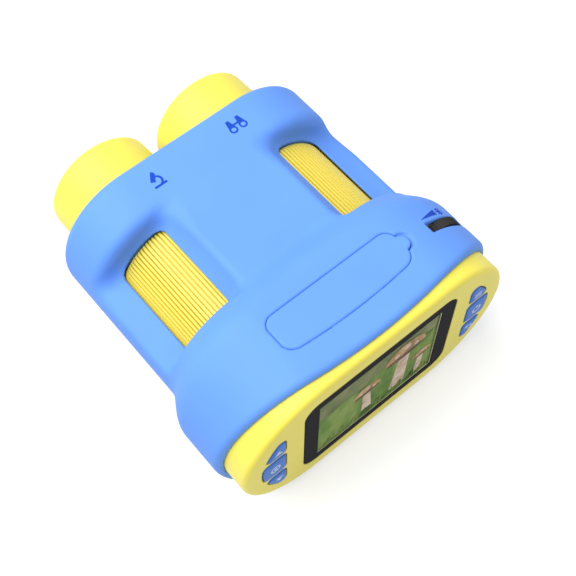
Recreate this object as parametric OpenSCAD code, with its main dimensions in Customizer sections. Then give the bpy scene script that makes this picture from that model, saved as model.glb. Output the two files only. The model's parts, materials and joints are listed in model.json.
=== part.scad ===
// Toy binocular camera: two lens barrels in front, a screen and six buttons behind,
// a soft sleeve round the middle. Millimetres, +Z up, barrels point along +Y.
// Inside body_frame() stations y run forward from the rear face, x is from the middle
// plane and z is from the axis of the body.

/* [Body] */
// half distance between the two end arcs of the body outline
span = 23.5; // [18:0.5:30]
// end radius of the sleeve around the rear block
rear_r = 32; // [28:0.5:38]
// end radius of the sleeve around the barrels
front_r = 26.4; // [23.8:0.2:29]
// station where the rear block starts to fall away
shoulder_y = 29.5; // [28.5:0.5:34]
// radius of the rounded shoulder of the rear block
shoulder_r = 13; // [10:0.5:16]
// station of the front end of the sleeve
sleeve_y = 99; // [95:0.5:105]
// edge radius of the front end of the sleeve
sleeve_edge = 4; // [2:0.5:4.5]
// wall of the sleeve
sleeve_t = 2.4; // [2:0.1:2.6]
// station of the rear lip of the sleeve in the middle
lip_y = 2.6; // [1:0.2:6]
// plan radius of the rear lip
lip_bow = 200; // [120:5:400]

/* [Rear housing] */
// depth of the rear housing
rear_depth = 30; // [28:0.5:34]
// wall of the rear housing
rear_t = 2.2; // [1.8:0.1:3]
// edge radius of the rear face
face_edge = 2; // [1:0.2:4]

/* [Barrels] */
// half distance between the barrel axes
barrel_x = 21.5; // [21.3:0.1:23]
// height of the barrel axes above the body axis
barrel_z = -1.7; // [-2:0.1:0]
// barrel radius at the sleeve
barrel_r = 19.8; // [18.5:0.1:20]
// barrel radius at the rim
rim_r = 19.3; // [18:0.1:20]
// station of the barrel rims
rim_y = 119; // [112:0.5:126]
// edge radius of the rim
rim_edge = 2.6; // [1:0.2:2.8]
// bore radius of the lens hood
hood_r = 16.8; // [15.6:0.1:16.8]

/* [Focus drums] */
// outer radius of the ribbed focus drum
drum_r = 20.3; // [19.8:0.1:20.4]
// bore of the focus drum
drum_bore = 17.5; // [17:0.1:17.8]
// ribs round a drum
drum_ribs = 96; // [48:4:120]
// depth of the ribs
rib_depth = 0.55; // [0.3:0.05:0.9]
// travel of the focus cell each way
focus_travel = 4; // [2:0.5:4.5]

/* [Screen] */
// width of the screen glass
glass_w = 60.5; // [52:0.5:62]
// height of the screen glass
glass_h = 44.5; // [38:0.5:46]
// corner radius of the screen glass
glass_r = 5.5; // [2:0.5:8]
// width of the picture area
view_w = 49; // [40:0.5:51]
// height of the picture area
view_h = 36.75; // [30:0.25:38]

/* [Buttons] */
// inner straight edge of each button trio from the middle
button_x = 37; // [36.5:0.25:40]
// outer reach of each button trio from the middle
button_reach = 46.8; // [44:0.2:47]
// height of each button trio
button_h = 38; // [32:1:39]
// height of the buttons above the face
button_proud = 0.8; // [0.4:0.1:1.5]
// travel of a button
button_travel = 0.8; // [0.4:0.1:0.8]

/* [Port flap] */
// length of the port flap
flap_l = 48.8; // [46:0.2:50]
// corner radius of the flap
flap_r = 3.8; // [2:0.2:5]

/* [Light dimmer] */
// radius of the dimmer wheel
wheel_r = 13; // [11:0.5:13]
// thickness of the dimmer wheel
wheel_t = 3; // [2:0.1:3.2]
// how far the wheel stands out of the sleeve
wheel_proud = 0.5; // [0:0.1:1]

/* [Hidden] */
$fn = 64;
axis_z = rear_r;
face_y = -(rim_y - button_proud) / 2;
house_r = rear_r - 2.5;
neck_r = front_r - sleeve_t;
drop = rear_r - front_r;
pocket_y0 = 41;
pocket_y1 = 79;
floor_a = [22.6, 19];
floor_n = [-0.531, -0.847];
wall_n = [-0.875, -0.485];
ledge_a = [41, 7.5];
ledge_n = [-0.243, -0.97];
drum_y0 = pocket_y0 + 2.5;
drum_y1 = pocket_y1 - 0.8;
drum_gap = 0.6;
frame_y = rear_depth - 2.5;
flange_y = rear_depth + 2.5;
chamber_y = drum_y1 + 2;
chamber_r = drum_r + drum_gap;
journal_r = drum_bore - 4.08;
journal_y = drum_y0 + 4;
spigot_r = drum_bore - 0.08;
spigot_y = drum_y1 - 5;
cell_y = (journal_y + spigot_y) / 2 - 1;
rod_x = 10.2;
seat_r = hood_r - 0.5;
hood_y = rim_y - 6;
seat_y = rim_y - 10;
lamp_y = rim_y - 15;
screen_z = -1;
glass_z = -0.25;
board_y = 7.5;
board_t = 1.6;
post_x = glass_w / 2 + 2.15;
post_z = house_r * 0.678;
flap_y0 = rear_depth * 0.467;
flap_y1 = rear_depth * 0.89;
wheel_a = 46;
wheel_y = rear_depth * 0.66;
wheel_d = rear_r + wheel_proud - wheel_r;
wheel_x = span + wheel_d * cos(wheel_a);
wheel_z = wheel_d * sin(wheel_a);
slot_w = wheel_t + 0.9;
tray_w = flap_l / 2 - 1.4;
tray_z = house_r - 8;
usb_x = -9;
card_x = 8;
port_y = (flap_y0 + flap_y1) / 2 - 1.75;
port_z = house_r - 14.5;
boss_y = wheel_y + slot_w / 2 + 0.85;
screw_x = span + (house_r - 5.1) * 0.676;
screw_z = (house_r - 5.1) * 0.737;

// a drawing in x and z becomes a plate from station y, t thick
module plate(y, t) translate([0, y + t, 0]) rotate([90, 0, 0]) linear_extrude(t) children();

// a drawing in radius and station turned about an axis through x and z
module turned(x, z) translate([x, 0, z]) rotate([-90, 0, 0]) rotate_extrude() children();

module rod(x, z, y0, y1, r) translate([x, y0, z]) rotate([-90, 0, 0]) cylinder(r = r, h = y1 - y0);

module body_frame() translate([0, face_y, axis_z]) children();

// points of a round edge between two angles
function bow(cx, cy, r, a0, a1, n) =
  [for (i = [0:n]) [cx + r * cos(a0 + (a1 - a0) * i / n), cy + r * sin(a0 + (a1 - a0) * i / n)]];

// points where two lines meet, each given by its normal and its distance
function meet(n, c, m, d) =
  [c * m[1] - d * n[1], n[0] * d - m[0] * c] / (n[0] * m[1] - m[0] * n[1]);

// outline of the body turned from a profile of radius and station; the lower corners are
// rounder by d so that the underside is one plane
module body_turn(pts, d, s = span) {
  low = [for (p = pts) [p[0] > 0 ? p[0] + d : 0, p[1]]];
  rotate([90, 0, 90]) linear_extrude(2 * s, center = true) polygon([for (p = pts) [p[1], p[0]]]);
  rotate([90, 0, 90]) linear_extrude(2 * (s - d), center = true) polygon([for (p = low) [p[1], -p[0]]]);
  for (m = [0, 1]) mirror([m, 0, 0]) {
    translate([s, 0, 0]) rotate([-90, 0, 0]) rotate([0, 0, -90]) rotate_extrude(angle = 90) polygon(pts);
    translate([s - d, 0, 0]) rotate([-90, 0, 0]) rotate_extrude(angle = 90) polygon(low);
  }
}

function straight(r, y0, y1) = [[0, y0], [r, y0], [r, y1], [0, y1]];

// rounded end of the rear block, run on a little inside the front part
module rear_form() body_turn(concat(
  [[0, -1], [rear_r, -1]],
  bow(rear_r - shoulder_r, shoulder_y, shoulder_r, 0, acos((shoulder_r - drop - 1.2) / shoulder_r), 10),
  [[0, shoulder_y + sqrt(pow(shoulder_r, 2) - pow(shoulder_r - drop - 1.2, 2))]]), 0);

module front_form() body_turn(concat(
  [[0, shoulder_y + 3], [front_r, shoulder_y + 3]],
  bow(front_r - sleeve_edge, sleeve_y - sleeve_edge, sleeve_edge, 0, 90, 6),
  [[0, sleeve_y]]), drop);

// scoop over a focus drum: a wall, a sloping floor and a flatter ledge, grown by g
module pocket(side, g) {
  wall = wall_n * floor_a + g;
  slope = floor_n * floor_a + g;
  ledge = ledge_n * ledge_a + g;
  top = 50;
  out = 70;
  mirror([side < 0 ? 1 : 0, 0, 0]) plate(pocket_y0 - g, pocket_y1 - pocket_y0 + 2 * g)
    polygon([meet(wall_n, wall, floor_n, slope), meet(wall_n, wall, [0, 1], top), [out, top],
             meet([1, 0], out, ledge_n, ledge), meet(floor_n, slope, ledge_n, ledge)]);
}

module drum_room(side) rod(side * barrel_x, barrel_z, drum_y0 - 1, pocket_y1 + sleeve_t + 0.4, chamber_r);

module flap_outline(g) {
  w = flap_l / 2 + g;
  r = flap_r + g;
  y0 = flap_y0 - g;
  y1 = flap_y1 + g;
  translate([-w + r, y0]) square([2 * (w - r), y1 - y0]);
  translate([-w, y0 + r]) square([2 * w, y1 - y0 - 2 * r]);
  for (x = [-w + r, w - r])
    for (y = [y0 + r, y1 - r]) translate([x, y]) circle(r);
  intersection() {
    translate([0, y0 - 1.5 + lip_bow]) circle(lip_bow, $fn = 256);
    translate([-w + r, y0 - 2]) square([2 * (w - r), 3]);
  }
  translate([w - g, (y0 + y1) / 2]) circle(2.7 + (g > 0 ? 0.7 : 0));
}

module sleeve() color([0.45, 0.66, 1]) body_frame() difference() {
  intersection() {
    union() {
      rear_form();
      front_form();
    }
    translate([0, lip_y + lip_bow, -rear_r - 1]) cylinder(r = lip_bow, h = 2 * rear_r + 2, $fn = 256);
  }
  body_turn(straight(house_r, -2, flange_y), 0, span + 0.3);
  difference() {
    body_turn(straight(neck_r, flange_y - 1, sleeve_y - sleeve_t), drop, span + 0.3);
    for (s = [-1, 1]) pocket(s, sleeve_t);
  }
  for (s = [-1, 1]) {
    pocket(s, 0);
    drum_room(s);
    rod(s * barrel_x, barrel_z, sleeve_y - 5, sleeve_y + 1, barrel_r + 0.25);
  }
  translate([0, 0, house_r - 1]) linear_extrude(rear_r) flap_outline(0.3);
  rotate_slot(slot_w, house_r - 1, rear_r + 2, 22.5);
}

// curved slot over the dimmer wheel between two radii of the shoulder
module rotate_slot(w, r0, r1, a) translate([span, wheel_y - w / 2, 0]) rotate([-90, 0, 0])
  rotate([0, 0, -wheel_a - a]) rotate_extrude(angle = 2 * a) translate([r0, 0]) square([r1 - r0, w]);

// the flap swings about the top edge of its left end
module port_flap() color([0.45, 0.66, 1]) body_frame()
  translate([0, 0, house_r]) linear_extrude(rear_r - house_r) flap_outline(0);

module round_rect(w, h, r) {
  square([w - 2 * r, h], center = true);
  square([w, h - 2 * r], center = true);
  for (x = [-1, 1])
    for (z = [-1, 1]) translate([x * (w / 2 - r), z * (h / 2 - r)]) circle(r);
}

button_bow = (pow(button_h / 2, 2) + pow(button_reach - button_x, 2)) / (2 * (button_reach - button_x));

// one of three buttons that share a bowed outline: row 1 is the top, -1 the bottom
module button_outline(side, row, g) {
  third = button_h / 6;
  mirror([side < 0 ? 1 : 0, 0]) translate([0, screen_z]) offset(r = 2.2 + g) offset(delta = -2.2)
    intersection() {
      translate([button_reach - button_bow, 0]) circle(button_bow, $fn = 128);
      translate([button_x, row * 2 * third - third + 0.3]) square([20, 2 * third - 0.6]);
    }
}

module button(side, row) color([0.33, 0.55, 0.86]) body_frame() {
  plate(-button_proud, button_proud - 0.2) button_outline(side, row, -0.7);
  plate(-button_proud + 0.4, rear_t + button_proud - 0.4) button_outline(side, row, -0.3);
  plate(rear_t + 0.15, 1) button_outline(side, row, 0.12);
  plate(rear_t - 0.1, 0.4) button_outline(side, row, -0.3);
  rod(side * (button_x + 4.2), screen_z + row * 11.6, rear_t + 0.5, 4.6, 1.6);
}

module button_left_top() button(-1, 1);
module button_left_middle() button(-1, 0);
module button_left_bottom() button(-1, -1);
module button_right_top() button(1, 1);
module button_right_middle() button(1, 0);
module button_right_bottom() button(1, -1);

module tact_switches() color([0.2, 0.2, 0.22]) body_frame()
  for (s = [-1, 1])
    for (row = [-1, 0, 1]) translate([s * (button_x + 4.2), 0, screen_z + row * 11.6]) {
      plate(board_y - 1.2, 1.2) square(4.2, center = true);
      rod(0, 0, board_y - 1.9, board_y - 1, 1);
    }

module rear_housing() color([0.95, 0.9, 0.4]) body_frame() difference() {
  union() {
    difference() {
      body_turn(concat([[0, 0]], bow(house_r - face_edge, face_edge, face_edge, -90, 0, 6),
                       [[house_r, rear_depth], [0, rear_depth]]), 0);
      body_turn(straight(house_r - rear_t, rear_t, rear_depth + 1), 0);
    }
    for (x = [-post_x, post_x])
      for (z = [-post_z, post_z]) rod(x, z, rear_t - 0.5, board_y, 1.7);
    intersection() {
      for (x = [-screw_x, screw_x])
        for (z = [-screw_z, screw_z]) rod(x, z, boss_y, frame_y, 3.6);
      body_turn(straight(house_r - 0.5, 10, rear_depth), 0);
    }
  }
  plate(-1, 2.2) translate([0, glass_z]) round_rect(glass_w + 0.3, glass_h + 0.3, glass_r + 0.15);
  plate(-1, 5) translate([0, screen_z]) square([view_w + 2, view_h + 2], center = true);
  for (s = [-1, 1])
    for (row = [-1, 0, 1]) plate(-1, 5) button_outline(s, row, 0);
  port_well();
  rotate_slot(slot_w, wheel_d, rear_r + 8, 29);
  for (x = [-screw_x, screw_x])
    for (z = [-screw_z, screw_z]) rod(x, z, boss_y + 1, frame_y + 1, 1);
}

// space under the flap
module port_well() translate([1.5 - tray_w, flap_y0 + 0.5, tray_z + 1.5])
  cube([2 * tray_w - 3, flap_y1 - flap_y0 - 2.1, 20]);

// tray under the flap that the two sockets reach into
module port_tray() color([0.16, 0.16, 0.17]) body_frame() difference() {
  translate([-tray_w, flap_y0 - 1, tray_z])
    cube([2 * tray_w, flap_y1 - flap_y0 + 0.9, house_r - rear_t - tray_z]);
  port_well();
  translate([usb_x - 4.65, port_y - 1.8, tray_z - 1]) cube([9.3, 3.6, 5]);
  translate([card_x - 6.7, port_y - 1.4, tray_z - 1]) cube([13.4, 2.8, 5]);
}

// plate that carries the rear journals of both drums
module mid_frame() color([0.3, 0.3, 0.33]) body_frame() difference() {
  union() {
    body_turn(straight(house_r - rear_t - 0.15, frame_y, rear_depth), 0);
    for (s = [-1, 1]) turned(s * barrel_x, barrel_z)
      polygon([[0, frame_y + 0.5], [journal_r + 0.6, frame_y + 0.5], [journal_r + 0.6, drum_y0 - 0.4],
               [journal_r, drum_y0 - 0.4], [journal_r, journal_y], [0, journal_y]]);
  }
  for (s = [-1, 1]) {
    rod(s * barrel_x, barrel_z, rear_depth, journal_y + 1, 11.5);
    rod(s * barrel_x, barrel_z + 8.6, frame_y - 1, rear_depth + 1, 2.2);
    rod(s * barrel_x + rod_x, barrel_z, frame_y + 1, rear_depth + 1, 1.02);
  }
  for (x = [-screw_x, screw_x])
    for (z = [-screw_z, screw_z]) rod(x, z, frame_y - 1, rear_depth + 1, 1.2);
}

module front_housing() color([0.95, 0.9, 0.4]) body_frame() difference() {
  union() {
    body_turn(straight(house_r, rear_depth, flange_y), 0);
    body_turn(straight(neck_r, rear_depth + 1, sleeve_y - sleeve_t), drop);
  }
  for (s = [-1, 1]) {
    rod(s * barrel_x, barrel_z, rear_depth - 1, chamber_y, chamber_r);
    rod(s * barrel_x, barrel_z, chamber_y - 1, sleeve_y, barrel_r + 0.05);
    pocket(s, sleeve_t);
  }
  for (x = [-screw_x, screw_x])
    for (z = [-screw_z, screw_z]) {
      rod(x, z, rear_depth - 1, flange_y + 1, 1.2);
      rod(x, z, flange_y - 1.3, flange_y + 20, 2.3);
    }
}

module housing_screws() color([0.6, 0.6, 0.62]) body_frame()
  for (x = [-screw_x, screw_x])
    for (z = [-screw_z, screw_z]) difference() {
      union() {
        rod(x, z, boss_y + 1.4, flange_y - 1, 0.95);
        rod(x, z, flange_y - 1.3, flange_y, 2.1);
      }
      translate([x, flange_y, z]) cube([3.2, 1.2, 0.6], center = true);
      translate([x, flange_y, z]) cube([0.6, 1.2, 3.2], center = true);
    }

module barrel(side) color([1, 0.97, 0.45]) body_frame() turned(side * barrel_x, barrel_z)
  polygon(concat(
    [[seat_r - 1.7, spigot_y], [spigot_r, spigot_y], [spigot_r, drum_y1 + 0.5],
     [chamber_r - 0.1, drum_y1 + 0.5], [chamber_r - 0.1, chamber_y],
     [barrel_r, chamber_y], [barrel_r, sleeve_y]],
    bow(rim_r - rim_edge, rim_y - rim_edge, rim_edge, 0, 75, 6),
    bow(hood_r + 0.8, rim_y - 0.8, 0.8, 90, 180, 4),
    [[hood_r, hood_y], [seat_r, hood_y], [seat_r, seat_y], [seat_r - 1.1, seat_y], [seat_r - 1.1, lamp_y],
     [seat_r - 1.7, lamp_y]]));

module barrel_left() barrel(-1);
module barrel_right() barrel(1);

module objective_lens(side) color([0.5, 0.6, 0.7, 0.5]) body_frame() turned(side * barrel_x, barrel_z)
  polygon(concat([[0, seat_y], [seat_r - 0.08, seat_y], [seat_r - 0.08, seat_y + 1.6]],
                 bow(0, seat_y + 3.2 - 90, 90, 90 - asin((seat_r - 1.8) / 90), 90, 6)));

module objective_lens_left() objective_lens(-1);
module objective_lens_right() objective_lens(1);

module retaining_ring(side) color([0.15, 0.15, 0.16]) body_frame() turned(side * barrel_x, barrel_z)
  polygon([[seat_r - 1.4, seat_y + 2.05], [seat_r - 0.05, seat_y + 2.05], [seat_r - 0.05, hood_y],
           [seat_r - 1.4, hood_y]]);

module retaining_ring_left() retaining_ring(-1);
module retaining_ring_right() retaining_ring(1);

// lamps round the near-view lens, in the left barrel only
module light_ring() color([0.92, 0.92, 0.9]) body_frame() translate([-barrel_x, lamp_y, barrel_z]) {
  difference() {
    rod(0, 0, 0, 1.2, seat_r - 1.15);
    rod(0, 0, -1, 2, seat_r - 6.8);
  }
  for (a = [0:45:315]) rotate([0, a, 0]) plate(1.2, 1) translate([seat_r - 4, 0]) square(2.6, center = true);
}

module focus_drum(side) color([0.94, 0.88, 0.37]) body_frame() translate([side * barrel_x, 0, barrel_z])
  difference() {
    plate(drum_y0, drum_y1 - drum_y0) polygon([for (i = [0:drum_ribs - 1], k = [0:3])
      (drum_r - (k < 2 ? 0 : rib_depth)) *
      [cos((i + [0.04, 0.62, 0.72, 0.94][k]) * 360 / drum_ribs),
       sin((i + [0.04, 0.62, 0.72, 0.94][k]) * 360 / drum_ribs)]]);
    rod(0, 0, drum_y0 - 1, drum_y1 + 1, journal_r + 0.08);
    rod(0, 0, drum_y0 + 2, drum_y1 + 1, drum_bore);
  }

module focus_drum_left() focus_drum(-1);
module focus_drum_right() focus_drum(1);

// cell that runs along inside a drum and is kept from turning by its guide rod
module lens_cell(side) color([0.12, 0.12, 0.13]) body_frame() translate([side * barrel_x, 0, barrel_z])
  difference() {
    turned(0, 0) polygon([[7, cell_y - 4], [12.8, cell_y - 4], [12.8, cell_y], [drum_bore - 0.08, cell_y],
                          [drum_bore - 0.08, cell_y + 6], [8.2, cell_y + 6], [8.2, cell_y], [7, cell_y]]);
    rod(rod_x, 0, cell_y - 5, cell_y + 7, 1.08);
  }

module lens_cell_left() lens_cell(-1);
module lens_cell_right() lens_cell(1);

module focus_lens(side) color([0.5, 0.6, 0.7, 0.5]) body_frame() turned(side * barrel_x, barrel_z)
  polygon(concat([[0, cell_y]], [[8.1, cell_y], [8.1, cell_y + 2]],
                 bow(0, cell_y + 3.2 - 26, 26, 90 - asin(8 / 26), 90, 6)));

module focus_lens_left() focus_lens(-1);
module focus_lens_right() focus_lens(1);

module guide_rods() color([0.75, 0.75, 0.77]) body_frame()
  for (s = [-1, 1]) rod(s * barrel_x + rod_x, barrel_z, frame_y + 1, drum_y1 - 1, 1);

module camera(side) color([0.1, 0.1, 0.11]) body_frame() translate([side * barrel_x, 0, barrel_z]) {
  plate(rear_depth, 4) square(9, center = true);
  rod(0, 0, rear_depth + 3, rear_depth + 8, 3.6);
}

module camera_left() camera(-1);
module camera_right() camera(1);

module screen_glass() color([0.12, 0.12, 0.13]) body_frame()
  plate(0.1, 1.1) translate([0, glass_z]) round_rect(glass_w, glass_h, glass_r);

module display_panel() color([0.35, 0.45, 0.2]) body_frame()
  plate(rear_t, 2.6) translate([0, screen_z]) square([view_w + 7, view_h + 5], center = true);

module main_board() color([0.1, 0.4, 0.2]) body_frame() difference() {
  body_turn(straight(house_r - rear_t - 1, board_y, board_y + board_t), 0);
  for (x = [-post_x, post_x])
    for (z = [-post_z, post_z]) rod(x, z, board_y - 1, board_y + 3, 0.8);
}

module port_board() color([0.1, 0.4, 0.2]) body_frame()
  translate([-20, board_y + board_t, port_z - 1.6]) cube([40, flap_y1 - 2.1 - board_y - board_t, 1.6]);

module battery() color([0.55, 0.57, 0.6]) body_frame()
  translate([-25, board_y + board_t, -20]) cube([50, 7.4, 31]);

module usb_port() color([0.7, 0.7, 0.72]) body_frame() translate([usb_x, port_y, port_z]) {
  difference() {
    linear_extrude(9.2) round_rect(8.9, 3.2, 1.5);
    translate([0, 0, 2]) linear_extrude(9) round_rect(8.3, 2.6, 1.25);
  }
  translate([-3.3, -0.35, 1]) cube([6.6, 0.7, 7]);
}

module card_slot() color([0.7, 0.7, 0.72]) body_frame() translate([card_x, port_y, port_z])
  difference() {
    translate([-6.4, -1.1, 0]) cube([12.8, 2.2, 9.2]);
    translate([-5.6, -0.5, 1]) cube([11.2, 1, 9]);
  }

module dimmer_wheel() color([0.24, 0.23, 0.22]) body_frame() translate([wheel_x, 0, wheel_z])
  difference() {
    plate(wheel_y - wheel_t / 2, wheel_t) polygon([for (i = [0:59], k = [0:1])
      (wheel_r - 0.5 * k) * [cos((i + 0.5 * k) * 6), sin((i + 0.5 * k) * 6)]]);
    rod(0, 0, wheel_y - 2, wheel_y + 2, 1.56);
  }

module dimmer_pot() color([0.5, 0.5, 0.52]) body_frame() translate([wheel_x, 0, wheel_z]) {
  plate(board_y + board_t, wheel_y - wheel_t / 2 - 0.4 - board_y - board_t) square(8, center = true);
  rod(0, 0, wheel_y - 3, wheel_y + wheel_t / 2, 1.5);
}

sleeve();
port_flap();
port_tray();
rear_housing();
mid_frame();
front_housing();
barrel_left();
barrel_right();
focus_drum_left();
focus_drum_right();
lens_cell_left();
lens_cell_right();
focus_lens_left();
focus_lens_right();
guide_rods();
objective_lens_left();
objective_lens_right();
retaining_ring_left();
retaining_ring_right();
light_ring();
camera_left();
camera_right();
screen_glass();
display_panel();
button_left_top();
button_left_middle();
button_left_bottom();
button_right_top();
button_right_middle();
button_right_bottom();
tact_switches();
main_board();
port_board();
battery();
usb_port();
card_slot();
dimmer_wheel();
dimmer_pot();
housing_screws();
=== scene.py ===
"""Looks of the toy binocular camera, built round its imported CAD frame."""

import json
import math

import bpy
import numpy as np
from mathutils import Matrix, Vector


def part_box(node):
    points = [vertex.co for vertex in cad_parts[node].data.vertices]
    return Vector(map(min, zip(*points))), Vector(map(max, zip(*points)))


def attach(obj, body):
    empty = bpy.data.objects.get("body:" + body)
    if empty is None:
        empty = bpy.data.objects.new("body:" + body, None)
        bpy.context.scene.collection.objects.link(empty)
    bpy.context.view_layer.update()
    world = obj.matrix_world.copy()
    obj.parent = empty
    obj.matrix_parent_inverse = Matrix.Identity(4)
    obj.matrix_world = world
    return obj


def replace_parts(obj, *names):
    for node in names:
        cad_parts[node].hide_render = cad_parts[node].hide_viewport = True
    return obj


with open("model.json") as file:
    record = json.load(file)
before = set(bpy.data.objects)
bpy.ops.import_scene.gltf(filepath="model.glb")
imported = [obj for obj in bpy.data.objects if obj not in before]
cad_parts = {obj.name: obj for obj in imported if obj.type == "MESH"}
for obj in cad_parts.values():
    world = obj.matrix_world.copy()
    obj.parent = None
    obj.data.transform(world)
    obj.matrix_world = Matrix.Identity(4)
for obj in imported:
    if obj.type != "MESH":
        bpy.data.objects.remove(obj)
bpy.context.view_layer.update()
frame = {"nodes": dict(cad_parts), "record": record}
NODES = frame["nodes"]

MM = 0.001

# Body frame: x from the middle plane, y forward from the rear face, z from the body axis, in mm.
PANEL_LO, PANEL_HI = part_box("rear_housing")
FACE_Y = PANEL_LO.y / MM
AXIS_Z = (PANEL_LO.z + PANEL_HI.z) / 2 / MM

# Sleeve, in mm: the outline is the CAD's, while blends, shoulder and scoops are softer here.
SPAN = 23.5
REAR_R = 32.0
FRONT_R = 26.4
DROP = REAR_R - FRONT_R
HOUSE_R = 29.5
NECK_R = 24.0
UNDERCUT = 1.0
SLEEVE_Y = 99.0
SLEEVE_T = 2.4
SLEEVE_EDGE = 4.0
SLEEVE_STEP = 0.5
FLANGE_Y = 32.5
FLANGE_ROUND = 3.0
LIP_Y = 2.6
LIP_BOW = 200.0
LIP_BLEND = 2.4
SHOULDER_Y = 31.0
SHOULDER_R = 11.0
SHOULDER_BOW = 240.0
SHOULDER_BLEND = 4.6
SHOULDER_TIGHT = 1.6
TIGHT_FROM, TIGHT_TO = 25.0, 50.0

# Barrels and focus drums; the chamfer and the drawn-in end are given as length and depth.
BARREL_X, BARREL_Z, BARREL_R = 21.5, -1.7, 19.8
MOUTH_DEPTH, MOUTH_GAP, MOUTH_BLEND = 5.0, 0.25, 0.6
DRUM_Y = (43.5, 78.2)
DRUM_R = 20.3
DRUM_BORE = 17.5
DRUM_JOURNAL, JOURNAL_T = 13.5, 2.0
DRUM_SKIRT = 1.3
DRUM_CHAMFER = (0.4, 0.3)
DRUM_END = (2.8, 2.2)
DRUM_RIBS, RIB_DEPTH = 96, 1.0
RIB_SHARES = (0.04, 0.62, 0.72, 0.94)
PLAIN_FROM, PLAIN_RINGS = 3.0, 4
CURVE_FROM, CURVE_RINGS = 0.15, 10
DRUM_GAP, DRUM_FRONT_GAP, DRUM_BLEND = 0.6, 0.3, 0.7

# Scoops over the drums: a sloping floor, a wall below it, a ledge and a soft brow in front.
POCKET = (40.6, 79.0)
BROW_FROM, BROW_BLEND = 66.0, (1.6, 4.5)
SLOPE_A = (22.6, 19.0)
SLOPE_N = (0.531, 0.847)
WALL_N = (0.875, 0.485)
LEDGE_A = (41.0, 7.5)
LEDGE_N = (0.243, 0.97)
LEDGE_BLEND, WALL_BLEND, END_BLEND = 2.0, 3.0, 5.0

# Port flap with its finger notch, and the dimmer wheel's slot.
FLAP_L, FLAP_Y0, FLAP_Y1 = 48.8, 14.0, 26.7
FLAP_MID = (FLAP_Y0 + FLAP_Y1) / 2
FLAP_R, FLAP_BOW, FLAP_TAB = 3.8, 1.5, 2.7
FLAP_GAP, FLAP_BLEND, FLAP_EDGE = 0.14, 0.15, 0.4
NOTCH_SHIFT, NOTCH_GAP, NOTCH_DEPTH, NOTCH_BLEND = 0.5, 0.6, 0.9, 0.4
WHEEL_Y, WHEEL_A = 19.8, 46.0
SLOT_W, SLOT_HALF, SLOT_BLEND = 3.9, 21.8, 0.7

# Rear face: screen and buttons.
SCREEN_Z, GLASS_Z = -1.0, -0.25
GLASS_W, GLASS_H, GLASS_R = 60.5, 44.5, 5.5
VIEW_W, VIEW_H, VIEW_R = 49.0, 36.75, 0.25
HALF_W, HALF_H = VIEW_W / 2, VIEW_H / 2
BEZEL_BACK, BEZEL_SIDE, BEZEL_FRONT, BEZEL_EASE = 1.2, 0.2, 0.1, 0.997
PICTURE_Y, PICTURE_STEP, PICTURE_T, PANE_Y = 0.9, 0.04, 0.02, 0.12
BUTTON_X, BUTTON_REACH, BUTTON_H = 37.0, 46.8, 38.0
BUTTON_R, BUTTON_WEB = 2.2, 0.6
BUTTON_POINTS, BOW_POINTS = 72, 25
CAP_STEPS = [(-0.5, 3.0), (-0.5, 0.0), (-0.58, -0.14), (-0.82, -0.27), (-1.2, -0.36), (-1.7, -0.4)]
CAP_TOP = CAP_STEPS[-1][1]

# Printed marks: their root, how much each outline stands over the last, their heights and places.
ROOT, LAP = 0.05, 0.004
SYMBOL_T, MARK_T, LIGHT_MARK_T = 0.04, 0.05, 0.1
NEAR_MARK, FAR_MARK = (-15.6, 88.8), (16.7, 89.3)
LIGHT_MARK_A, LIGHT_MARK_Y = 68.0, 23.2
SUN_U, SUN_V = 10.6, 1.1

# Camera as solved from the photograph, light and floor.
CAMERA_MM = (-109.19, -145.23, 340.97)
CAMERA_BACK = (-0.3101, -0.3683, 0.8764)
CAMERA_LENS, CAMERA_SENSOR = 68.34, 36.0
LIT_POINT = (0, 0, 0.03)
SKY_LIGHT = 0.5
FLOOR_R, FLOOR_POINTS = 0.75, 96
FLOOR_SEEN, FLOOR_LIFT, FLOOR_THROWN = 0.6, 0.5, 0.55


def to_row(points):
    """Body-frame millimetres to row-frame metres."""
    return (np.asarray(points, float) + (0.0, FACE_Y, AXIS_Z)) * MM


# Materials

DRIFT_SCALE, GRAIN_SCALE, GRAIN_HEIGHT = 45.0, 900.0, 0.0002
RAMP_LOW, RAMP_HIGH = 0.3, 0.7


def srgb(r, g, b):
    """A colour as it reads on screen, 0 to 255, as linear light."""
    shares = (r / 255, g / 255, b / 255)
    linear = [c / 12.92 if c <= 0.04045 else ((c + 0.055) / 1.055) ** 2.4 for c in shares]
    return (*linear, 1.0)


def new_material(name):
    """An empty material with its node tree."""
    m = bpy.data.materials.new(name)
    m.use_nodes = True
    return m, m.node_tree


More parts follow.
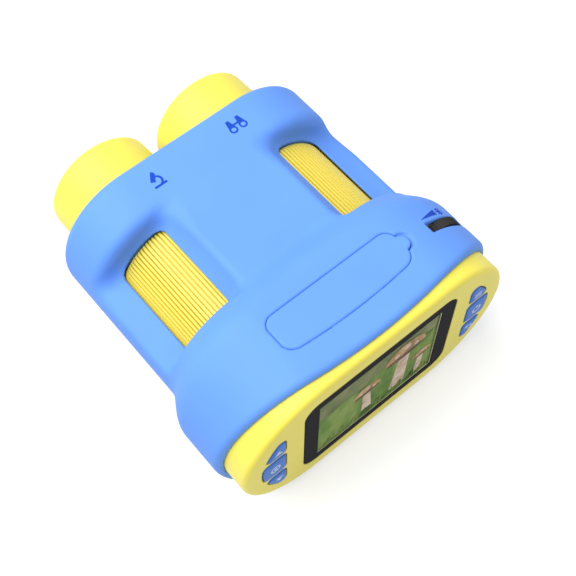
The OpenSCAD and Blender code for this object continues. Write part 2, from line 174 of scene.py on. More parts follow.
def material(name, colour, roughness, spread=0.06, bump=0.0, **sockets):
    """A surface whose colour drifts a little and whose skin has a fine grain."""
    m, tree = new_material(name)
    shader = tree.nodes["Principled BSDF"]
    shader.inputs["Roughness"].default_value = roughness
    for key, value in sockets.items():
        shader.inputs[key.replace("_", " ")].default_value = value
    place = tree.nodes.new("ShaderNodeTexCoord")
    noise = tree.nodes.new("ShaderNodeTexNoise")
    noise.inputs["Scale"].default_value = DRIFT_SCALE
    noise.inputs["Detail"].default_value = 3.0
    ramp = tree.nodes.new("ShaderNodeValToRGB")
    low, high = ramp.color_ramp.elements
    low.position, high.position = RAMP_LOW, RAMP_HIGH
    low.color = (*[c * (1 - spread) for c in colour[:3]], 1)
    high.color = (*[min(1.0, c * (1 + spread)) for c in colour[:3]], 1)
    tree.links.new(place.outputs["Object"], noise.inputs["Vector"])
    tree.links.new(noise.outputs["Fac"], ramp.inputs["Fac"])
    tree.links.new(ramp.outputs["Color"], shader.inputs["Base Color"])
    if bump:
        grain = tree.nodes.new("ShaderNodeTexNoise")
        grain.inputs["Scale"].default_value = GRAIN_SCALE
        tree.links.new(place.outputs["Object"], grain.inputs["Vector"])
        raised = tree.nodes.new("ShaderNodeBump")
        raised.inputs["Strength"].default_value = bump
        raised.inputs["Distance"].default_value = GRAIN_HEIGHT
        tree.links.new(grain.outputs["Fac"], raised.inputs["Height"])
        tree.links.new(raised.outputs["Normal"], shader.inputs["Normal"])
    return m


def paint(name, colours, scale, stretch=(1, 1, 1), lean=0.0):
    """Blotches or leaning streaks that run through several colours, for the picture on the screen."""
    m, tree = new_material(name)
    shader = tree.nodes["Principled BSDF"]
    shader.inputs["Roughness"].default_value = 0.6
    shader.inputs["Specular IOR Level"].default_value = 0.1
    place = tree.nodes.new("ShaderNodeTexCoord")
    turn = tree.nodes.new("ShaderNodeMapping")
    turn.inputs["Scale"].default_value = stretch
    turn.inputs["Rotation"].default_value = (0, lean, 0)
    noise = tree.nodes.new("ShaderNodeTexNoise")
    noise.inputs["Scale"].default_value = scale
    noise.inputs["Detail"].default_value = 6.0
    noise.inputs["Roughness"].default_value = 0.62
    ramp = tree.nodes.new("ShaderNodeValToRGB")
    steps = ramp.color_ramp.elements
    steps[0].position, steps[1].position = RAMP_LOW, RAMP_HIGH
    steps[0].color, steps[1].color = colours[0], colours[-1]
    for i, colour in enumerate(colours[1:-1], 1):
        share = i / (len(colours) - 1)
        steps.new(RAMP_LOW + (RAMP_HIGH - RAMP_LOW) * share).color = colour
    tree.links.new(place.outputs["Object"], turn.inputs["Vector"])
    tree.links.new(turn.outputs["Vector"], noise.inputs["Vector"])
    tree.links.new(noise.outputs["Fac"], ramp.inputs["Fac"])
    tree.links.new(ramp.outputs["Color"], shader.inputs["Base Color"])
    return m


def clear_pane(name, shine):
    """Thin clear cover: what is behind shows through, with a faint gloss."""
    m, tree = new_material(name)
    tree.nodes.remove(tree.nodes["Principled BSDF"])
    through = tree.nodes.new("ShaderNodeBsdfTransparent")
    gloss = tree.nodes.new("ShaderNodeBsdfGlossy")
    gloss.inputs["Roughness"].default_value = 0.08
    mix = tree.nodes.new("ShaderNodeMixShader")
    mix.inputs["Fac"].default_value = shine
    tree.links.new(through.outputs[0], mix.inputs[1])
    tree.links.new(gloss.outputs[0], mix.inputs[2])
    tree.links.new(mix.outputs[0], tree.nodes["Material Output"].inputs["Surface"])
    return m


SLEEVE = material("sleeve_silicone", srgb(98, 150, 238), 0.62, spread=0.03, bump=0.12, Specular_IOR_Level=0.3)
YELLOW = material("housing_yellow", srgb(240, 226, 92), 0.42, spread=0.02, bump=0.06, Specular_IOR_Level=0.25)
DRUM = material("drum_yellow", srgb(232, 212, 84), 0.45, spread=0.03)
BUTTON = material("button_blue", srgb(66, 120, 208), 0.42, spread=0.03, bump=0.05, Specular_IOR_Level=0.1)
MARK = material("mark_blue", srgb(28, 72, 184), 0.6, spread=0.04, Specular_IOR_Level=0.1)
SYMBOL = material("symbol_pale", srgb(190, 205, 235), 0.5, spread=0.03)
BLACK = material("screen_black", srgb(24, 23, 28), 0.55, spread=0.05, Specular_IOR_Level=0.02)
DARK = material("dark_plastic", srgb(42, 39, 36), 0.55, spread=0.08, bump=0.08, Specular_IOR_Level=0.15)
STEEL = material("bright_steel", srgb(190, 190, 194), 0.3, spread=0.05, Metallic=1.0)
BOARD = material("board_green", srgb(26, 96, 58), 0.45, spread=0.2)
CELL = material("battery_silver", srgb(150, 154, 160), 0.4)
LAMP = material("lamp_white", srgb(235, 235, 228), 0.4, spread=0.03)
LENS = material("lens_glass", srgb(205, 218, 228), 0.03, spread=0.02, Transmission_Weight=1.0, IOR=1.5)
PANE = clear_pane("screen_pane", shine=0.012)

MEADOW = paint("picture_meadow",
               [srgb(58, 88, 26), srgb(92, 128, 44), srgb(122, 152, 66), srgb(146, 160, 92)],
               scale=150.0, stretch=(1, 1, 0.45), lean=0.35)
HEDGE = paint("picture_hedge", [srgb(74, 92, 46), srgb(112, 124, 74), srgb(150, 150, 104)], scale=120.0)
STRAW = paint("picture_straw", [srgb(130, 96, 58), srgb(186, 150, 104), srgb(214, 186, 144)],
              scale=260.0, stretch=(1, 1, 0.3), lean=-0.5)
CREAM = paint("picture_cream", [srgb(178, 148, 124), srgb(216, 192, 170), srgb(238, 224, 208)], scale=220.0)
UMBER = paint("picture_umber", [srgb(46, 30, 28), srgb(84, 56, 46), srgb(122, 86, 62)], scale=240.0)
EDGE = paint("picture_edge", [srgb(186, 190, 150), srgb(206, 208, 172)], scale=90.0)

FINISH = {
    "sleeve_blue": SLEEVE, "housing_yellow": YELLOW, "drum_yellow": DRUM, "button_blue": BUTTON,
    "dark_plastic": DARK, "lens_glass": LENS, "steel": STEEL, "lamp_white": LAMP,
    "screen_black": BLACK, "display": BLACK, "board_green": BOARD, "battery_grey": CELL,
    "pot_grey": CELL,
}
SLOT_OF = {s["node"]: s["material_slot"] for s in frame["record"]["subparts"]}
for node_name, node in NODES.items():
    node.data.materials.clear()
    node.data.materials.append(FINISH[SLOT_OF[node_name]])


# Meshes

def mesh_object(name, verts, faces, mat, body, smooth=True):
    """A piece of the scene that rides on a body."""
    data = bpy.data.meshes.new(name)
    data.from_pydata([tuple(v) for v in verts], [], [tuple(int(i) for i in f) for f in faces])
    data.validate()
    if smooth:
        data.polygons.foreach_set("use_smooth", [True] * len(data.polygons))
    obj = bpy.data.objects.new(name, data)
    bpy.context.scene.collection.objects.link(obj)
    data.materials.append(mat)
    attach(obj, body)
    return obj


# Distance fields: below zero inside, with soft blends where the moulded skin is soft.

def soft_max(a, b, k):
    """The larger of two fields, rounded where they are within k of each other."""
    h = np.clip(0.5 + 0.5 * (a - b) / k, 0, 1)
    return b + (a - b) * h + k * h * (1 - h)


def soft_min(a, b, k):
    """The smaller of two fields, rounded where they are within k of each other."""
    return -soft_max(-a, -b, k)


def around(x, z, drop):
    """Distance from the spine of the body outline, whose lower corners are rounder by drop."""
    upper = np.hypot(np.maximum(np.abs(x) - SPAN, 0), z)
    lower = np.hypot(np.maximum(np.abs(x) - SPAN + drop, 0), z) - drop
    return np.where(z > 0, upper, lower)


def rounded_box(qx, qy, edge):
    """A corner of that edge radius, from the distances past its two flats."""
    return np.hypot(np.maximum(qx, 0), np.maximum(qy, 0)) + np.minimum(np.maximum(qx, qy), 0) - edge


def rounded_end(rho, y, r, y1, edge):
    """A turned form of radius r that ends at station y1 with a rounded edge."""
    return rounded_box(rho - (r - edge), y - (y1 - edge), edge)


def beyond(side, z, point, normal):
    """How far out of a plane through point, in the half section of one side."""
    return (side - point[0]) * normal[0] + (z - point[1]) * normal[1]


def pocket_field(x, y, z):
    """The scoop over a focus drum."""
    side = np.abs(x)
    above = beyond(side, z, SLOPE_A, SLOPE_N)
    beside = beyond(side, z, SLOPE_A, WALL_N)
    ledge = beyond(side, z, LEDGE_A, LEDGE_N)
    scoop = soft_max(soft_max(-above, -ledge, LEDGE_BLEND), -beside, WALL_BLEND)
    ends = np.maximum(POCKET[0] - y, y - POCKET[1])
    return soft_max(scoop, ends, END_BLEND)


def drum_radius(y, r, y1):
    """Outer radius of a focus drum, drawn in towards its front end."""
    run = np.clip((y - (y1 - DRUM_END[0])) / DRUM_END[0], 0, 1)
    return r - DRUM_END[1] * (1 - np.sqrt(1 - run * run))


def flap_field(x, y, g):
    """The flap's outline grown by g."""
    half_l, r = FLAP_L / 2 + g, FLAP_R + g
    fade = np.clip((half_l - np.abs(x)) / FLAP_R, 0, 1)
    bowed = np.clip(FLAP_BOW - x * x / (2 * LIP_BOW), 0, None) * fade
    y0, y1 = FLAP_Y0 - g - bowed, FLAP_Y1 + g
    plate = rounded_box(np.abs(x) - (half_l - r), np.abs(y - (y0 + y1) / 2) - ((y1 - y0) / 2 - r), r)
    tab = np.hypot(x - FLAP_L / 2, y - FLAP_MID) - FLAP_TAB - g
    return np.minimum(plate, tab)


def outer_field(x, y, z, pocket):
    """The sleeve's outside: rear block with its shoulder, front body, flat base, bowed lip and scoops."""
    tight = np.clip((np.abs(x) - TIGHT_FROM) / (TIGHT_TO - TIGHT_FROM), 0, 1)
    rear = rounded_end(around(x, z, 0.0), y + x * x / (2 * SHOULDER_BOW), REAR_R,
                       SHOULDER_Y + SHOULDER_R, SHOULDER_R - SHOULDER_TIGHT * tight)
    front = rounded_end(around(x, z, DROP), y, FRONT_R, SLEEVE_Y, SLEEVE_EDGE)
    outer = np.maximum(soft_min(rear, front, SHOULDER_BLEND), -REAR_R - z)
    outer = soft_max(outer, LIP_Y + x * x / (2 * LIP_BOW) - y, LIP_BLEND)
    brow = np.clip((y - BROW_FROM) / (POCKET[1] - BROW_FROM), 0, 1)
    return soft_max(outer, -pocket, BROW_BLEND[0] + (BROW_BLEND[1] - BROW_BLEND[0]) * brow)


def sleeve_field(p):
    """The sleeve: its outside less the room for housings, drums, barrels, flap, notch and wheel."""
    x, y, z = p[..., 0], p[..., 1], p[..., 2]
    rear_rho, front_rho = around(x, z, 0.0), around(x, z, DROP)
    pocket = pocket_field(x, y, z)
    cavity = soft_max(rear_rho - HOUSE_R, y - FLANGE_Y, FLANGE_ROUND)
    neck = np.maximum(front_rho - NECK_R, y - (SLEEVE_Y - SLEEVE_T))
    neck = np.maximum(neck, SLEEVE_T - pocket)
    shell = np.maximum(outer_field(x, y, z, pocket), -np.minimum(cavity, neck))

    off_axis = np.hypot(np.abs(x) - BARREL_X, z - BARREL_Z)
    room_y0, room_y1 = DRUM_Y[0] - DRUM_SKIRT - DRUM_GAP, DRUM_Y[1] + DRUM_FRONT_GAP
    room = np.maximum(off_axis - drum_radius(y, DRUM_R + DRUM_GAP, room_y1),
                      np.maximum(room_y0 - y, y - room_y1))
    shell = soft_max(shell, -room, DRUM_BLEND)
    mouth = np.maximum(off_axis - BARREL_R - MOUTH_GAP, SLEEVE_Y - MOUTH_DEPTH - y)
    shell = soft_max(shell, -mouth, MOUTH_BLEND)

    flap = np.maximum(flap_field(x, y, FLAP_GAP), HOUSE_R - UNDERCUT - z)
    shell = soft_max(shell, -flap, FLAP_BLEND)
    notch = np.hypot(x - FLAP_L / 2 - NOTCH_SHIFT, y - FLAP_MID) - FLAP_TAB - NOTCH_GAP
    shell = soft_max(shell, -np.maximum(notch, REAR_R - NOTCH_DEPTH - z), NOTCH_BLEND)

    past_end = np.abs(np.degrees(np.arctan2(z, x - SPAN)) - WHEEL_A) - SLOT_HALF
    slot = np.maximum(np.abs(y - WHEEL_Y) - SLOT_W / 2, past_end * REAR_R * math.pi / 180)
    slot = np.maximum(slot, np.maximum(HOUSE_R - UNDERCUT - rear_rho, SPAN - x))
    return soft_max(shell, -slot, SLOT_BLEND)


def port_flap_field(p):
    """The flap that closes the port bay."""
    x, y, z = p[..., 0], p[..., 1], p[..., 2]
    return soft_max(flap_field(x, y, 0.0), np.maximum(z - REAR_R, HOUSE_R - z), FLAP_EDGE)


# Surfaces of the fields

# Probe for a field's slope and the least square of it; rounds of drawing on and the longest move in steps.
PROBE, LEAST_SLOPE = 0.02, 0.05
DRAW_ROUNDS, DRAW_REACH = 3, 0.5


def block(values, cells, at):
    """The part of a grid that starts at corner at of each cell."""
    return values[tuple(slice(a, a + n) for a, n in zip(at, cells))]


def cell_points(values, axes, step):
    """One vertex in each cell that the surface crosses, and the index of each cell's vertex."""
    cells = [n - 1 for n in values.shape]
    inside = values < 0
    corners = np.zeros(cells, np.int8)
    for at in np.ndindex(2, 2, 2):
        corners += block(inside, cells, at)
    crossed = (corners > 0) & (corners < 8)
    centre = np.zeros((*cells, 3), np.float32)
    count = np.zeros(cells, np.int16)
    for axis in range(3):
        for edge in np.ndindex(2, 2):
            start = list(edge)
            start.insert(axis, 0)
            end = list(edge)
            end.insert(axis, 1)
            a, b = block(values, cells, start), block(values, cells, end)
            hit = ((a < 0) != (b < 0)) & crossed
            t = np.where(hit, a / np.where(hit, a - b, 1), 0)
            for k in range(3):
                centre[..., k] += np.where(hit, start[k] + (t if k == axis else 0), 0)
            count += hit
    where = np.argwhere(crossed)
    index = np.full(cells, -1, np.int64)
    index[crossed] = np.arange(len(where))
    origin = np.array([a[0] for a in axes])
    return origin + step * (where + centre[crossed] / count[crossed][:, None]), index


def cell_faces(inside, index):
    """A quad for each grid edge that the surface crosses, through the four cells round that edge."""
    cells = index.shape
    quads = []
    for axis in range(3):
        u, v = [(1, 2), (2, 0), (0, 1)][axis]
        lead = [slice(1, n) for n in cells]
        lead[axis] = slice(0, cells[axis])
        ahead = [slice(1, n) for n in cells]
        ahead[axis] = slice(1, cells[axis] + 1)
        a, b = inside[tuple(lead)], inside[tuple(ahead)]
        base = np.argwhere(a != b) + [0 if k == axis else 1 for k in range(3)]
        ring = []
        for du, dv in ((0, 0), (1, 0), (1, 1), (0, 1)):
            cell = base.copy()
            cell[:, u] -= du
            cell[:, v] -= dv
            ring.append(index[cell[:, 0], cell[:, 1], cell[:, 2]])
        quad = np.stack(ring, 1)
        flip = b[a != b]
        quad[flip] = quad[flip][:, ::-1]
        quads.append(quad)
    return np.concatenate(quads)


def drawn_on(field, points, step):
    """The points, moved onto the surface along the field's slope."""
    for _ in range(DRAW_ROUNDS):
        slope = np.stack([(field(points + PROBE * e) - field(points - PROBE * e)) / (2 * PROBE)
                          for e in np.eye(3)], -1)
        size = np.maximum((slope ** 2).sum(-1), LEAST_SLOPE)
        move = -(field(points) / size)[:, None] * slope
        length = np.linalg.norm(move, axis=1, keepdims=True)
        points = points + move * np.minimum(1, DRAW_REACH * step / np.maximum(length, 1e-9))
    return points


def surface_of(field, low, high, step):
    """Closed quad mesh of a field's zero surface: one vertex per crossed cell, drawn onto the surface."""
    axes = [np.arange(a - step, b + 2 * step, step) for a, b in zip(low, high)]
    values = np.empty([len(a) for a in axes], np.float32)
    yy, zz = np.meshgrid(axes[1], axes[2], indexing="ij")
    for i, x in enumerate(axes[0]):
        values[i] = field(np.stack([np.full_like(yy, x), yy, zz], -1))
    points, index = cell_points(values, axes, step)
    return drawn_on(field, points, step), cell_faces(values < 0, index)


def skin(name, field, low, high, body, node):
    """A soft blue piece that stands for a CAD node."""
    points, faces = surface_of(field, low, high, SLEEVE_STEP)
    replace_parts(mesh_object(name, to_row(points), faces, SLEEVE, body), node)


skin("sleeve_skin", sleeve_field, (-SPAN - REAR_R, LIP_Y, -REAR_R), (SPAN + REAR_R, SLEEVE_Y, REAR_R),
     "casing", "sleeve")
skin("port_flap_skin", port_flap_field, (-FLAP_L / 2, FLAP_Y0 - FLAP_BOW, HOUSE_R),
     (FLAP_L / 2 + FLAP_TAB, FLAP_Y1, REAR_R), "flap", "port_flap")


# Rings of points joined to a closed skin

def band(first, second, n):
    """Quads between two rings of n points, given by their first points."""
    return [(first + i, first + (i + 1) % n, second + (i + 1) % n, second + i) for i in range(n)]


# Focus drums: flat-topped ribs between narrow grooves, drawn in at the front end.

def drum(side_name, side):
    """A drum with its rear skirt, bore and journal, as rings about the barrel's axis."""
    shares = [i + share for i in range(DRUM_RIBS) for share in RIB_SHARES]
    angles = np.array([s * 2 * math.pi / DRUM_RIBS for s in shares])
    groove = np.tile([0.0, 0.0, RIB_DEPTH, RIB_DEPTH], DRUM_RIBS)
    y0, y1 = DRUM_Y
    rear = y0 - DRUM_SKIRT
    stations = [rear, rear + DRUM_CHAMFER[0]]
    stations += list(np.linspace(y0 + PLAIN_FROM, y1 - DRUM_END[0], PLAIN_RINGS))
    curve = np.linspace(CURVE_FROM, math.pi / 2, CURVE_RINGS)
    stations += [y1 - DRUM_END[0] * (1 - math.sin(a)) for a in curve]
    rings = [(y, drum_radius(y, DRUM_R, y1) - (DRUM_CHAMFER[1] if y == rear else 0) - groove)
             for y in stations]
    inner = [(y1, DRUM_BORE), (y0 + JOURNAL_T, DRUM_BORE), (y0 + JOURNAL_T, DRUM_JOURNAL),
             (y0, DRUM_JOURNAL), (y0, DRUM_BORE), (rear, DRUM_BORE)]
    rings += [(y, np.full(len(angles), r)) for y, r in inner]
    n = len(angles)
    verts = [(side * BARREL_X + r[i] * math.cos(angles[i]), y, BARREL_Z + r[i] * math.sin(angles[i]))
             for y, r in rings for i in range(n)]
    faces = [(k * n + i, m * n + i, m * n + (i + 1) % n, k * n + (i + 1) % n)
             for k, m in enumerate([*range(1, len(rings)), 0]) for i in range(n)]
    obj = mesh_object("focus_drum_%s_ribbed" % side_name, to_row(verts), faces, DRUM,
                      "drum_" + side_name, smooth=False)
    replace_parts(obj, "focus_drum_" + side_name)


drum("left", -1)
drum("right", 1)


# Small raised pieces: closed prisms drawn in two coordinates and laid on a surface.

def disc(cx, cy, r, n=24):
    """Outline of a round spot."""
    return [(cx + r * math.cos(2 * math.pi * i / n), cy + r * math.sin(2 * math.pi * i / n))
            for i in range(n)]


def bar(x0, y0, x1, y1, w):
    """Outline of a straight stroke of width w."""
    length = math.hypot(x1 - x0, y1 - y0)
    nx, ny = -(y1 - y0) / length * w / 2, (x1 - x0) / length * w / 2
    return [(x0 - nx, y0 - ny), (x1 - nx, y1 - ny), (x1 + nx, y1 + ny), (x0 + nx, y0 + ny)]


def arc_band(cx, cy, r, w, a0, a1, n=20):
    """Outline of a curved stroke of width w, from angle a0 to a1 in degrees."""
    angles = [math.radians(a0 + (a1 - a0) * i / n) for i in range(n + 1)]
    outer = [(cx + (r + w / 2) * math.cos(a), cy + (r + w / 2) * math.sin(a)) for a in angles]
    inner = [(cx + (r - w / 2) * math.cos(a), cy + (r - w / 2) * math.sin(a)) for a in reversed(angles)]
    return outer + inner


def loop(cx, cy, r, w, n):
    """Outline of a whole ring of width w, with a hairline cut."""
    return arc_band(cx, cy, r, w, 0, 359.9, n)


def laid(name, outlines, lay, thick, mat, body):
    """Prisms of the outlines, placed by lay(u, v, h), each a hair higher than the last."""
    verts, faces = [], []
    for k, outline in enumerate(outlines):
        area = sum(a[0] * b[1] - b[0] * a[1] for a, b in zip(outline, outline[1:] + outline[:1]))
        ring = outline if area > 0 else outline[::-1]
        n, at = len(ring), len(verts)
        verts += [lay(u, v, -ROOT) for u, v in ring] + [lay(u, v, thick + LAP * k) for u, v in ring]
        faces.append(tuple(range(at + n - 1, at - 1, -1)))
        faces.append(tuple(range(at + n, at + 2 * n)))
        faces += band(at, at + n, n)
    return mesh_object(name, to_row(verts), faces, mat, body, smooth=False)


# Buttons: a pillowed cap for each key, with a symbol of its own.

def button_ring(side, row, grow):
    """Outline of one key: the bowed trio cut in three, with rounded corners."""
    rise = BUTTON_REACH - BUTTON_X
    bow = ((BUTTON_H / 2) ** 2 + rise ** 2) / (2 * rise)
    third = BUTTON_H / 6
    cx, r, left = BUTTON_REACH - bow, bow - BUTTON_R, BUTTON_X + BUTTON_R
    tip = math.sqrt(r * r - (left - cx) ** 2)
    z0 = max(row * 2 * third - third + BUTTON_WEB / 2 + BUTTON_R, -tip)
    z1 = min(row * 2 * third + third - BUTTON_WEB / 2 - BUTTON_R, tip)
    core = [(left, z0), (left, z1)]
    core += [(cx + math.sqrt(r * r - z * z), z) for z in np.linspace(z0, z1, BOW_POINTS)]
    core = np.array(core)
    ring = []
    for a in np.linspace(0, 2 * math.pi, BUTTON_POINTS, endpoint=False):
        n = np.array([math.cos(a), math.sin(a)])
        ring.append(core[np.argmax(core @ n)] + (BUTTON_R + grow) * n)
    ring = np.array(ring)
    ring[:, 0] *= side
    ring[:, 1] += SCREEN_Z
    return ring[::side]


def button_cap(side, row, key):
    """The cap of one key, from its root inside the face to its pillowed top."""
    rings = [button_ring(side, row, grow) for grow, _ in CAP_STEPS]
    verts = [(x, y, z) for ring, (_, y) in zip(rings, CAP_STEPS) for x, z in ring]
    n, last = len(rings[0]), len(rings) - 1
    faces = [quad for k in range(last) for quad in band(k * n, (k + 1) * n, n)]
    faces.append(tuple(range(n - 1, -1, -1)))
    faces.append(tuple(range(last * n, (last + 1) * n)))
    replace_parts(mesh_object(key + "_cap", to_row(verts), faces, BUTTON, key + "_key"), key)


GLYPHS = {
    "left_top": [[(-1.5, -1.1), (1.5, -1.1), (0, 1.4)]],
    "left_middle": [loop(0, 0, 1.6, 0.6, 32), disc(0, 0, 0.7)],
    "left_bottom": [[(-1.5, 1.1), (0, -1.4), (1.5, 1.1)]],
    "right_top": [bar(-1.5, z, 1.5, z, 0.5) for z in (1.0, 0, -1.0)],
    "right_middle": [arc_band(0, 0, 1.6, 0.6, 125, 415, 28), bar(0, 0.5, 0, 2.2, 0.6)],
    "right_bottom": [arc_band(0.1, -0.2, 1.3, 0.55, -100, 120, 20), [(-2.1, 1.1), (-0.5, 0.1), (-0.5, 2.0)]],
}

for side_name, side in (("left", -1), ("right", 1)):
    for row_name, row in (("top", 1), ("middle", 0), ("bottom", -1)):
        place_name = "%s_%s" % (side_name, row_name)
        key = "button_" + place_name
        button_cap(side, row, key)
        centre = button_ring(side, row, 0).mean(axis=0)
        laid(key + "_symbol", GLYPHS[place_name],
             lambda u, v, h, c=centre: (c[0] + u, CAP_TOP - h, c[1] + v),
             SYMBOL_T, SYMBOL, key + "_key")


# Printed marks on the sleeve: near view over the left barrel, far view over the right, light by the wheel.

def on_top(cx, cy):
    """u to the right and v forward on the flat top of the sleeve."""
    return lambda u, v, h: (cx + u, cy + v, FRONT_R + h)


def on_shoulder(a0, y0):
    """u down the shoulder along its arc and v forward from the wheel slot."""
    def lay(u, v, h):
        a = math.radians(a0) - u / REAR_R
        return (SPAN + (REAR_R + h) * math.cos(a), y0 + v, (REAR_R + h) * math.sin(a))
    return lay


near_view = [[(-2.3, -0.1), (-0.9, -1.0), (0.75, 1.9), (0.45, 2.9), (-0.2, 3.2)],
             arc_band(-0.5, -0.8, 1.9, 0.75, -68, 75), bar(-2.4, -2.7, 2.2, -2.7, 0.8)]
far_view = [bar(-1.2, 0.3, 1.2, 0.3, 0.7)]
for cx in (-1.9, 1.9):
    far_view += [loop(cx, -1.3, 1.15, 0.6, 28),
                 [(cx - 1.25, -0.5), (cx + 1.25, -0.5), (cx + 0.55, 2.7), (cx - 0.55, 2.7)]]
light = [[(i, 0.0), (i + 1, 0.0), (i + 1, 0.35 + 0.25 * i), (i, 0.1 + 0.25 * i)] for i in range(8)]
light.append(disc(SUN_U, SUN_V, 0.6, 16))
for a in [math.pi * k / 4 for k in range(8)]:
    light.append(bar(SUN_U + 0.9 * math.cos(a), SUN_V + 0.9 * math.sin(a),
                     SUN_U + 1.5 * math.cos(a), SUN_V + 1.5 * math.sin(a), 0.35))
laid("near_view_mark", near_view, on_top(*NEAR_MARK), MARK_T, MARK, "casing")
laid("far_view_mark", far_view, on_top(*FAR_MARK), MARK_T, MARK, "casing")
laid("light_mark", light, on_shoulder(LIGHT_MARK_A, LIGHT_MARK_Y), LIGHT_MARK_T, MARK,
     "casing")


# Screen: a black bezel round a sunk picture, under a clear cover.

def round_rect(w, h, r, n=10):
    """Outline of a rectangle with rounded corners."""
    outline = []
    for k, (sx, sz) in enumerate(((1, 1), (-1, 1), (-1, -1), (1, -1))):
        for i in range(n + 1):
            a = math.pi / 2 * (k + i / n)
            outline.append((sx * (w / 2 - r) + r * math.cos(a), sz * (h / 2 - r) + r * math.sin(a)))
    return outline


def bezel():
    """Frame between the glass outline and the picture opening, walls and back included."""
    outer = [(x, z + GLASS_Z) for x, z in round_rect(GLASS_W, GLASS_H, GLASS_R)]
    eased = [(x * BEZEL_EASE, z * BEZEL_EASE) for x, z in outer]
    inner = [(x, z + SCREEN_Z) for x, z in round_rect(VIEW_W, VIEW_H, VIEW_R)]
    rings = [(outer, BEZEL_BACK), (outer, BEZEL_SIDE), (eased, BEZEL_FRONT), (inner, BEZEL_FRONT),
             (inner, BEZEL_BACK)]
    n = len(outer)
    verts = [(x, y, z) for ring, y in rings for x, z in ring]
    faces = [quad for k in range(len(rings)) for quad in band(k * n, (k + 1) % len(rings) * n, n)]
    obj = mesh_object("screen_bezel", to_row(verts), faces, BLACK, "casing", smooth=False)
    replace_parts(obj, "screen_glass")


bezel()


# Picture: toadstools in a meadow, in thin layers from back to front.

def rect(x0, z0, x1, z1):
    """Outline of an upright rectangle."""
    return [(x0, z0), (x1, z0), (x1, z1), (x0, z1)]


def dome(cx, cz, w, h, sag, n=24):
    """Cap of a toadstool: an arched top and a gently sagging rim."""
    sweep = np.linspace(0, math.pi, n)
    over = [(cx + w * math.cos(a), cz + h * math.sin(a) ** 0.8) for a in sweep]
    under = [(cx - w * math.cos(a), cz - sag * math.sin(a)) for a in sweep[1:-1]]
    return over + under


def stem(cx, z0, z1, w, lean):
    """Stem of a toadstool, wider at the foot."""
    return [(cx - w * 0.75, z0), (cx + w * 0.75, z0), (cx + lean + w * 0.5, z1), (cx + lean - w * 0.5, z1)]


def tuft(x):
    """One blade of grass at the lower edge."""
    height = 4.0 + 2.2 * math.sin(x * 3.3)
    return [(x - 0.5, -HALF_H), (x + 0.5, -HALF_H), (x + 0.9 * math.sin(x * 7.1), -HALF_H + height)]


def picture_layer(name, outlines, layer, mat):
    """Part of the picture, a step nearer the glass for each layer."""
    laid("picture_" + name, outlines, lambda u, v, h: (u, PICTURE_Y - PICTURE_STEP * layer - h, SCREEN_Z + v),
         PICTURE_T, mat, "casing")


# Each toadstool: place, foot, rim, half width of the cap, lean. Each spot: across, up, size, in half widths.
TOADSTOOLS = [(9.5, -15.0, 6.5, 8.5, 1.6), (-3.5, -14.0, -0.5, 5.6, -0.8), (18.5, -15.5, -4.5, 4.2, 0.6)]
SPOTS = [(-0.45, 0.3, 0.13), (0.05, 0.5, 0.17), (0.5, 0.25, 0.11)]
WHOLE = rect(-HALF_W, -HALF_H, HALF_W, HALF_H)

# The border stands before the tufts, each of which is a hair higher than the last.
BORDER_W, BORDER_H, BORDER_LAYER = 0.45, 0.55, 12

hill_top = [(x, 7.0 + 2.2 * math.sin(x / 9.0) + 0.7 * math.sin(x / 2.7))
            for x in np.linspace(HALF_W, -HALF_W, 40)]
stems, gills, caps, spots = [], [], [], []
for x, foot, rim, half, lean in TOADSTOOLS:
    stems.append(stem(x, foot, rim + 0.6, half * 0.5, lean))
    gills.append(dome(x + lean, rim, half * 0.94, 1.2, half * 0.26))
    caps.append(dome(x + lean, rim + 0.2, half, half * 0.78, -0.3))
    spots += [disc(x + lean + half * across, rim + half * up, half * size) for across, up, size in SPOTS]
tufts = [tuft(x) for x in np.linspace(-HALF_W + 1.2, HALF_W - 1.6, 44)]
border = [rect(-HALF_W, -HALF_H, HALF_W, -HALF_H + BORDER_H),
          rect(HALF_W - BORDER_W, -HALF_H + BORDER_H, HALF_W, HALF_H)]
picture_layer("far", [WHOLE], 0, HEDGE)
picture_layer("field", [[(-HALF_W, -HALF_H), (HALF_W, -HALF_H)] + hill_top], 1, MEADOW)
picture_layer("stems", stems, 2, CREAM)
picture_layer("gills", gills, 3, UMBER)
picture_layer("caps", caps, 4, STRAW)
picture_layer("spots", spots, 5, CREAM)
picture_layer("tufts", tufts, 6, MEADOW)
picture_layer("edge", border, BORDER_LAYER, EDGE)
laid("screen_pane", [WHOLE], lambda u, v, h: (u, PANE_Y - h, SCREEN_Z + v), 0.0, PANE,
     "casing")


# Camera, light and floor

def aimed(obj, place, direction):
    """Puts a camera or lamp at a place, looking along a direction."""
    bpy.context.scene.collection.objects.link(obj)
    obj.location = place
    obj.rotation_mode = "QUATERNION"
    obj.rotation_quaternion = direction.to_track_quat("-Z", "Y")


def photo_camera():
    """The camera at the photograph's place."""
    data = bpy.data.cameras.new("camera")
    data.lens = CAMERA_LENS
    data.sensor_width = CAMERA_SENSOR
    data.clip_start = 0.01
    camera = bpy.data.objects.new("camera", data)
    aimed(camera, Vector(CAMERA_MM) * MM, -Vector(CAMERA_BACK))
    bpy.context.scene.camera = camera


def area_light(name, place, size, power):
    """A soft round lamp that looks at the part."""
    data = bpy.data.lights.new(name, "AREA")
    data.shape = "DISK"
    data.size = size
    data.energy = power
    aimed(bpy.data.objects.new(name, data), place, Vector(LIT_POINT) - Vector(place))


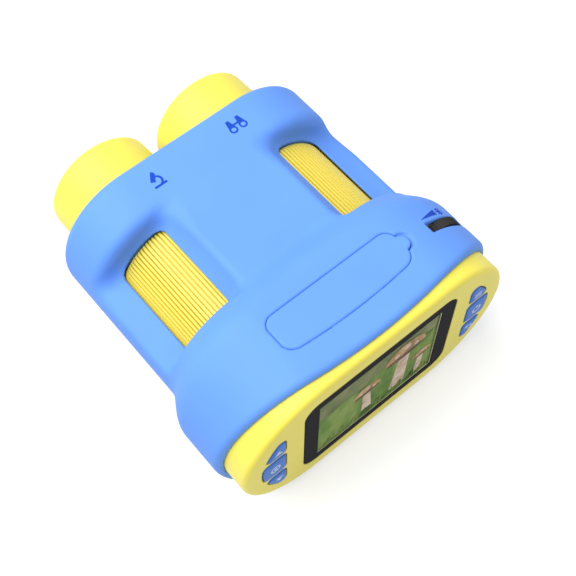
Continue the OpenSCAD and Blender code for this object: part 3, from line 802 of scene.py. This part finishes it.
def looked_at(tree):
    """One for what is seen directly, in a gloss or through glass, and nought for scattered light."""
    path = tree.nodes.new("ShaderNodeLightPath")
    seen = path.outputs["Is Camera Ray"]
    for kind in ("Is Glossy Ray", "Is Transmission Ray"):
        either = tree.nodes.new("ShaderNodeMath")
        either.operation = "MAXIMUM"
        tree.links.new(seen, either.inputs[0])
        tree.links.new(path.outputs[kind], either.inputs[1])
        seen = either.outputs[0]
    return seen


def pick_look(tree, plain, seen, output):
    """Shows one shader to scattered light and the other where it is looked at."""
    pick = tree.nodes.new("ShaderNodeMixShader")
    tree.links.new(looked_at(tree), pick.inputs["Fac"])
    tree.links.new(plain.outputs[0], pick.inputs[1])
    tree.links.new(seen.outputs[0], pick.inputs[2])
    tree.links.new(pick.outputs[0], tree.nodes[output].inputs["Surface"])


def studio():
    """Even pale light all round; where it is looked at it is white."""
    world = bpy.data.worlds.new("studio")
    bpy.context.scene.world = world
    world.use_nodes = True
    tree = world.node_tree
    sky, backdrop = tree.nodes["Background"], tree.nodes.new("ShaderNodeBackground")
    for node, strength in ((sky, SKY_LIGHT), (backdrop, 1.0)):
        node.inputs["Color"].default_value = (1, 1, 1, 1)
        node.inputs["Strength"].default_value = strength
    pick_look(tree, sky, backdrop, "World Output")


def floor():
    """Pale floor: lifted towards white where it is looked at, plain grey to the light that it throws back."""
    m, tree = new_material("floor_white")
    tree.nodes.remove(tree.nodes["Principled BSDF"])
    seen, thrown = (tree.nodes.new("ShaderNodeBsdfDiffuse") for _ in range(2))
    seen.inputs["Color"].default_value = (FLOOR_SEEN, FLOOR_SEEN, FLOOR_SEEN, 1)
    thrown.inputs["Color"].default_value = (FLOOR_THROWN, FLOOR_THROWN, FLOOR_THROWN, 1)
    lift = tree.nodes.new("ShaderNodeEmission")
    lift.inputs["Strength"].default_value = FLOOR_LIFT
    both = tree.nodes.new("ShaderNodeAddShader")
    tree.links.new(seen.outputs[0], both.inputs[0])
    tree.links.new(lift.outputs[0], both.inputs[1])
    pick_look(tree, thrown, both, "Material Output")
    rim = [(x, y, 0) for x, y in disc(0, 0, FLOOR_R, FLOOR_POINTS)]
    data = bpy.data.meshes.new("floor")
    data.from_pydata(rim, [], [tuple(range(len(rim)))])
    data.materials.append(m)
    obj = bpy.data.objects.new("floor", data)
    bpy.context.scene.collection.objects.link(obj)


photo_camera()
area_light("key", (-0.3, 0.26, 0.77), size=1.0, power=9.8)
area_light("fill", (0.1, -0.7, 0.6), size=1.0, power=1.4)
studio()
floor()

bpy.context.scene.view_settings.view_transform = "Standard"
